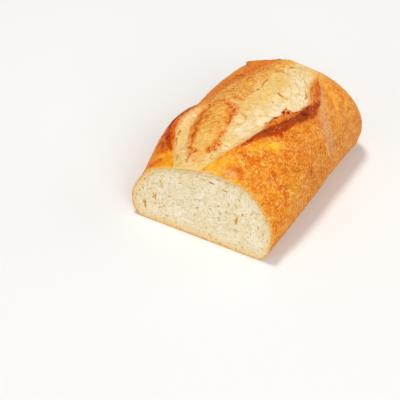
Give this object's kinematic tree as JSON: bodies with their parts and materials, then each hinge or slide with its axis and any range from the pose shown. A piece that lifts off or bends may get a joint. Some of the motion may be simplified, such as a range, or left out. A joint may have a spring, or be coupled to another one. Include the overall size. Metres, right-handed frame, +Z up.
{
  "type": "cut bread loaf",
  "caption": "Crusty oval hearth loaf with one long score and a raised ear, its first end sliced off to show the pale crumb.",
  "frame": {"origin": "middle of the bounding box's bottom, on the surface the loaf rests on", "axes": "+Y along the loaf from the cut face to the rounded end, +X across it to the ear's side, +Z up"},
  "size_m": [0.1254, 0.1802, 0.0735],
  "materials": {
    "crust": "dry baked crust, golden orange, matte with a faint sheen",
    "crumb": "soft open bread crumb, cream, fully matte"
  },
  "bodies": {
    "root": {"loaf": "crust"}
  },
  "joints": []
}
